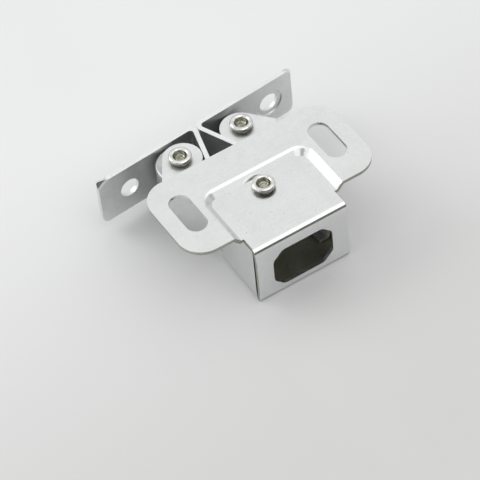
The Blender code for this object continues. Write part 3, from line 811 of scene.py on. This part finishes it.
def model_rivet(name, grip_bottom, grip_top, flush, at):
    profile = rivet_profile(grip_bottom, grip_top, flush)
    item = draw_line(name, [(r, 0, z) for r, z in profile])
    bpy.ops.mesh.select_all(action="SELECT")
    fold(2 * pi, (0, 0, 0), FACE_UP, ROUND_STEPS)
    bpy.ops.mesh.select_all(action="SELECT")
    bpy.ops.mesh.remove_doubles(threshold=SAME)
    bpy.ops.mesh.normals_make_consistent(inside=False)
    leave()
    for spot in item.data.vertices:
        if spot.co.z > grip_top + RIVET_GAP and hypot(spot.co.x, spot.co.y) > DENTS_START:
            dent = noise.noise(Vector((spot.co.x * DENT_FREQUENCY, spot.co.y * DENT_FREQUENCY,
                                       at[0] * DENT_OFFSET)))
            spot.co.z += DENT_RISE * dent
            spot.co.x *= 1 + DENT_ACROSS * dent
            spot.co.y *= 1 - DENT_ALONG * dent
    item.data.transform(Matrix.Translation((*at, 0)))
    hold(item)
    bpy.ops.object.shade_smooth_by_angle(angle=RIVET_SMOOTH_ANGLE)
    return item


def rivet_finish(face, at, grip_top):
    """Painted deep shade on the cup's wall and under the head, painted shade on the cup's floor, and bright
    elsewhere.
    """
    floor = grip_top + RIVET_GAP
    out = hypot(face.center.x - at[0], face.center.y - at[1])
    if out < CUP_RADIUS and floor < face.center.z < floor + HEAD_HEIGHT - CUP_LIP:
        return DEEP_PAINTED_SHADE if abs(face.normal.z) < CUP_WALL_TILT else CUP_PAINTED_SHADE
    return DEEP_PAINTED_SHADE if face.center.z > grip_top and face.normal.z < UNDERSIDE_TILT else BRIGHT


def make_rivets():
    rows = [("rivet_centre", "centre_rivet", "housing_body", 0, FIELD_TOP, True, (0, PIVOT_Y))]
    for hand, side in SIDE.items():
        top = ARM_TOP[hand]
        rows.append(("axle_" + hand, hand + "_axle", hand + "_arm_body", top - ARM_HEIGHT, top, False,
                     swing(side * AXLE_U, ROLLER_LINE_V)))
    for name, node, body, low, high, flush, at in rows:
        item = model_rivet(name, low, high, flush, at)
        dress(item, RIVET_FINISHES, body, node)
        for face in item.data.polygons:
            face.material_index = rivet_finish(face, at, high)


# Strike

# The photograph has both holes this far to the right of the part's, and a countersink at the right one only
FLANGE_HOLE_SHIFT = 0.00065
COUNTERSINK_TOP = 0.0038
COUNTERSINK_BOTTOM = 0.0031
COUNTERSINK_DEPTH = 0.00028

# Steps along the flanges and rows up the strip, closer at the ends and the top
FLANGE_STEPS = 10
FLANGE_END_RUN = 0.0036
FLANGE_END_STEPS = 24
STRIKE_ROWS = 8
TOP_ROW = 0.0002
TOP_ROWS = 16

# The top corners are bent back about a slanting line: its reach along the top and down the end, by side
CURLS = {-1: (0.0029, 0.0020), 1: (0.0029 * 0.62, 0.0020 * 0.75)}
CURL_ANGLE = radians(32)
CURL_BEND = 0.0005

STRIKE_EDGE = 0.00018
# How far a face must point up or down to get the painted highlight of the strike's top edge
HIGHLIGHT_EDGE_TILT = 0.25


def fillet(before, corner, after, radius):
    """The arc that rounds the corner of a path."""
    corner = Vector(corner)
    back = (Vector(before) - corner).normalized()
    ahead = (Vector(after) - corner).normalized()
    half = acos(max(-1, min(1, back.dot(ahead)))) / 2
    centre = corner + (back + ahead).normalized() * radius / sin(half)
    start = corner + back * radius / tan(half) - centre
    end = corner + ahead * radius / tan(half) - centre
    first = atan2(start.y, start.x)
    turn = (atan2(end.y, end.x) - first + pi) % (2 * pi) - pi
    return arc(centre, radius, first, first + turn)


def strike_path():
    """Middle line of the strike's right half, from the tip's middle to the flange's end, and the flange's w."""
    half = STRIKE_SHEET / 2
    neck_u = NECK_GAP / 2 + half + NECK_RADIUS
    neck_w = (LEG_LINE_U + NECK_RADIUS - neck_u * cos(LEG_ANGLE)) / sin(LEG_ANGLE)
    crest = ((LEG_LINE_U - CREST_W * sin(LEG_ANGLE)) / cos(LEG_ANGLE), CREST_W)
    tip_centre = (0, TIP_W + half + TIP_RADIUS)
    away = Vector(crest) - Vector(tip_centre)
    tip = arc(tip_centre, TIP_RADIUS, -pi / 2, atan2(away.y, away.x) - acos(TIP_RADIUS / away.length))
    neck = arc((neck_u, neck_w), NECK_RADIUS, pi + LEG_ANGLE, pi / 2)
    end = STRIKE_SPAN / 2
    flange_w = neck_w + NECK_RADIUS
    flange = [(u, flange_w) for u in (*spaced(neck[-1][0], end - FLANGE_END_RUN, FLANGE_STEPS)[1:-1],
                                      *spaced(end - FLANGE_END_RUN, end, FLANGE_END_STEPS))]
    return [*tip, *fillet(tip[-1], crest, neck[0], CREST_RADIUS), *neck, *flange], flange_w


def corner_rise(from_end, radius):
    if from_end >= radius:
        return 0
    return radius - sqrt(max(0, radius ** 2 - (radius - from_end) ** 2))


def curled(u, w, z, side):
    """Bends the flange's top corner back about a slanting line across it."""
    from_end = STRIKE_SPAN / 2 - abs(u)
    from_top = STRIKE_BOTTOM_Z + STRIKE_HEIGHT - z
    run, drop = CURLS[side]
    slant = hypot(run, drop)
    past = (run * drop - from_end * drop - from_top * run) / slant
    if past <= 0:
        return u, w, z
    radius = CURL_BEND / CURL_ANGLE
    if past < CURL_BEND:
        angle = past / radius
        ahead = radius * sin(angle)
        back = radius * (1 - cos(angle))
    else:
        ahead = radius * sin(CURL_ANGLE) + (past - CURL_BEND) * cos(CURL_ANGLE)
        back = radius * (1 - cos(CURL_ANGLE)) + (past - CURL_BEND) * sin(CURL_ANGLE)
    shorter = past - ahead
    return u - side * shorter * drop / slant, w + back, z - shorter * run / slant


def model_strike(path):
    """One strip, pulled up from its path, with the flanges' corners rounded below and curled above."""
    item = draw_line("strike_plate", [(u, w, STRIKE_BOTTOM_Z) for u, w in path])
    bpy.ops.mesh.select_all(action="SELECT")
    for _ in range(STRIKE_ROWS):
        pull(0, 0, (STRIKE_HEIGHT - TOP_ROWS * TOP_ROW) / STRIKE_ROWS)
    for _ in range(TOP_ROWS):
        pull(0, 0, TOP_ROW)
    leave()
    end = STRIKE_SPAN / 2
    for spot in item.data.vertices:
        u, w, z = spot.co
        if w > 0:
            part = (z - STRIKE_BOTTOM_Z) / STRIKE_HEIGHT
            low = corner_rise(end - abs(u), FLANGE_BOTTOM_CORNER)
            high = STRIKE_HEIGHT - corner_rise(end - abs(u), FLANGE_TOP_CORNER)
            z = STRIKE_BOTTOM_Z + low + (high - low) * part
            u, w, z = curled(u, w, z, 1 if u > 0 else -1)
        spot.co = (u, w, z)
    face_out(item, (0, 1, 0))
    thicken(item, STRIKE_SHEET)
    apply_all(item)
    edit(item)
    bpy.ops.mesh.select_all(action="SELECT")
    bpy.ops.mesh.normals_make_consistent(inside=False)
    leave()
    return item


def make_strike():
    right, flange_w = strike_path()
    item = model_strike([(-u, w) for u, w in right[:0:-1]] + right)
    mid_z = STRIKE_BOTTOM_Z + STRIKE_HEIGHT / 2
    through = (pi / 2, 0, 0)
    holes = [(side * FLANGE_HOLE_U + FLANGE_HOLE_SHIFT, flange_w, mid_z) for side in (-1, 1)]
    for at in holes:
        cut(item, round_tool("flange hole", FLANGE_HOLE_RADIUS, -STRIKE_SHEET, STRIKE_SHEET, at, turn=through))
    cut(item, round_tool("countersink", COUNTERSINK_TOP, STRIKE_SHEET / 2 - COUNTERSINK_DEPTH, STRIKE_SHEET,
                         holes[1], COUNTERSINK_BOTTOM, through))
    middle = swing(0, ROLLER_LINE_V)
    item.data.transform(Matrix.Translation((*middle, 0)) @ Matrix.Rotation(FLOAT_ANGLE, 4, "Z"))
    round_edges(item, STRIKE_EDGE, SHEET_EDGE_STEPS)
    dress(item, (STRIKE_ZINC, PAINTED_HIGHLIGHT_EDGE), "strike_body", "strike")
    # Faces that point up or down in the strike's upper half get the painted highlight
    for face in item.data.polygons:
        face.material_index = int(abs(face.normal.z) > HIGHLIGHT_EDGE_TILT and face.center.z > mid_z)


# Arms, rollers and spring

ARM_EDGE = 0.00012
ROLLER_EDGE = 0.00008


def make_arms_and_rollers():
    for hand in SIDE:
        arm = refined_copy("arm_" + hand, hand + "_arm", ARM_EDGE)
        dress(arm, (ARM_ZINC,), hand + "_arm_body", hand + "_arm")
        roller = refined_copy("roller_" + hand, hand + "_roller", ROLLER_EDGE)
        dress(roller, (ROLLER_STEEL,), hand + "_roller_body", hand + "_roller")


def finish_spring():
    """The spring keeps its part's own mesh."""
    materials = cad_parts["closing_spring"].data.materials
    materials.clear()
    materials.append(SPRING_WIRE)


# Floor and light

FLOOR_SIZE = 6
FLOOR_Z = -0.00003
# Painted shade: the floor's colour darkens from the far end toward the camera
FLOOR_SHADED_NEAR = (0.535, 0.535, 0.528)
FLOOR_LIT_FAR = (0.676, 0.678, 0.681)
FLOOR_VEIN = (0.60, 0.60, 0.595)
VEIN_SHARE = 0.16

# Strength of the sky at the horizon and its gain overhead, then of what stands out in it
SKY_LOW = 0.62
SKY_GAIN = 0.34
ROOM_SHADE = 0.90
WATCHER_SHADE = 0.85
WINDOW_GLOW = 0.45
SOFT_BOX_GLOW = 0.32
SKY_BLUE = (0.93, 0.97, 1.0)
SKY_WHITE = (1.0, 1.0, 1.0)


def make_floor():
    """A pale sheet with painted shade that darkens it toward the camera, and broad faint veins."""
    deselect()
    bpy.ops.mesh.primitive_plane_add(size=FLOOR_SIZE, location=(0, 0, FLOOR_Z))
    floor = bpy.context.object
    floor.name = "floor"
    finish = Finish("pale_floor", metallic=0.0, roughness=0.55)
    x, y, _ = finish.axes(finish.place)
    colour = finish.blend((y + x * 0.05).between(-0.060, 0.065), FLOOR_SHADED_NEAR, FLOOR_LIT_FAR)
    vein = finish.noise(scale=26, detail=4, rough=0.55, stretch=(1, 0.45, 1), turn=(0, 0, 0.8))
    colour = finish.blend(vein.between(0.52, 0.72) * VEIN_SHARE, colour, FLOOR_VEIN)
    finish.feed("Base Color", colour)
    floor.data.materials.append(finish.material)


def make_world():
    """Bright sky, dimmer toward the horizon: a window at the back left, a soft box in front, the dark room under
    it behind the camera, and a dark watcher at the front left.
    """
    world = bpy.data.worlds.new("studio")
    bpy.context.scene.world = world
    world.use_nodes = True
    world.node_tree.nodes.clear()
    sky = Shading(world.node_tree)
    x, y, z = sky.axes(sky.node("ShaderNodeTexCoord").outputs["Generated"])
    light = SKY_LOW + SKY_GAIN * z.between(0.0, 0.6)
    room = (0 - y).between(0.30, 0.75) * z.between(0.54, 0.38)
    soft_box = (0 - y).between(-0.18, 0.04) * z.between(0.38, 0.52)
    window = (y * 0.59 - x * 0.81).between(0.72, 0.90) * z.between(0.0, 0.12)
    watcher = (y * -0.44 - x * 0.69 + z * 0.575).between(0.950, 0.985)
    light = light * (1 - ROOM_SHADE * room) * (1 - WATCHER_SHADE * watcher)
    light = light + WINDOW_GLOW * window + SOFT_BOX_GLOW * soft_box
    colour = sky.blend(z.between(-0.1, 0.5), SKY_BLUE, SKY_WHITE)
    background = sky.node("ShaderNodeBackground", None, {"Color": colour, "Strength": light})
    output = sky.node("ShaderNodeOutputWorld")
    sky.tree.links.new(background.outputs[0], output.inputs[0])


def make_lamp(name, place, target, size, power):
    data = bpy.data.lights.new(name, "AREA")
    data.shape = "SQUARE"
    data.size = size
    data.energy = power
    lamp = bpy.data.objects.new(name, data)
    bpy.context.scene.collection.objects.link(lamp)
    lamp.location = place
    aim = Vector(target) - Vector(place)
    lamp.rotation_euler = aim.to_track_quat("-Z", "Y").to_euler()


make_housing()
make_rivets()
make_strike()
make_arms_and_rollers()
finish_spring()

make_camera()
make_floor()
make_world()
make_lamp("window_light", place=(-0.48, 0.64, 0.58), target=(0, 0.01, 0), size=0.5, power=2.5)
make_lamp("soft_box", place=(0.12, -0.42, 0.68), target=(0, 0, 0), size=0.45, power=0.6)
bpy.context.scene.view_settings.view_transform = "Standard"
